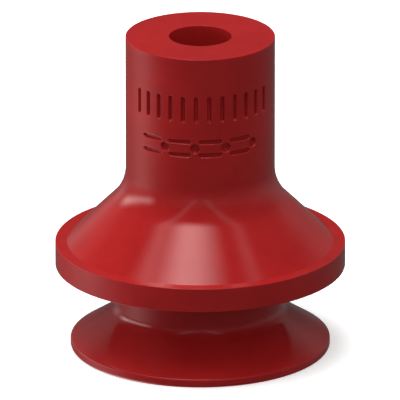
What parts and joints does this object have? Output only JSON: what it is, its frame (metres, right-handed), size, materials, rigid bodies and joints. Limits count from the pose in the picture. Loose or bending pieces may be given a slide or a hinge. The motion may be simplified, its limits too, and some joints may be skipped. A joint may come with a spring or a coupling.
{
  "type": "vacuum suction cup",
  "caption": "Red silicone bellows suction cup with one and a half folds: a thick neck with a press bore, a wide fold rim, a narrow waist and a flared sealing lip.",
  "frame": {"origin": "centre of the sealing plane, where the lip's lower face meets the cup's axis", "axes": "+Z along the cup's axis towards the fitting end; -Y is the side with the engraved marks"},
  "size_m": [0.0168, 0.0168, 0.0188],
  "materials": {
    "silicone": "smooth, glossy"
  },
  "bodies": {
    "neck": {"fitting_neck": "silicone", "shoulder": "silicone"},
    "upper_fold": {"upper_wall": "silicone"},
    "rim": {"fold_rim": "silicone"},
    "lower_fold": {"lower_wall": "silicone"},
    "skirt": {"waist_ring": "silicone", "lip_skirt": "silicone"},
    "lip": {"sealing_lip": "silicone"}
  },
  "joints": [
    {"name": "tilt_x", "type": "hinge", "parent": "neck", "child": "upper_fold", "pos_m": [0, 0, 0.0095], "axis": [1, 0, 0], "range_deg": [-6, 6], "stiffness_Nm_per_rad": 0.05, "deforming": ["shoulder"]},
    {"name": "fold_close", "type": "slide", "parent": "upper_fold", "child": "rim", "axis": [0, 0, 1], "range_m": [0, 0.0013], "stiffness_N_per_m": 1200, "deforming": ["upper_wall"]},
    {"name": "fold_close_lower", "type": "slide", "parent": "rim", "child": "lower_fold", "axis": [0, 0, 1], "range_m": [0, 0.0013], "stiffness_N_per_m": 1200, "deforming": ["lower_wall"]},
    {"name": "tilt_y", "type": "hinge", "parent": "lower_fold", "child": "skirt", "pos_m": [0, 0, 0.0038], "axis": [0, 1, 0], "range_deg": [-6, 6], "stiffness_Nm_per_rad": 0.05, "deforming": ["waist_ring"]},
    {"name": "lip_flatten", "type": "slide", "parent": "skirt", "child": "lip", "axis": [0, 0, 1], "range_m": [0, 0.001], "stiffness_N_per_m": 1100, "deforming": ["lip_skirt"]}
  ],
  "couplings": [
    {"joint": "fold_close_lower", "follows": "fold_close", "ratio": 1}
  ]
}
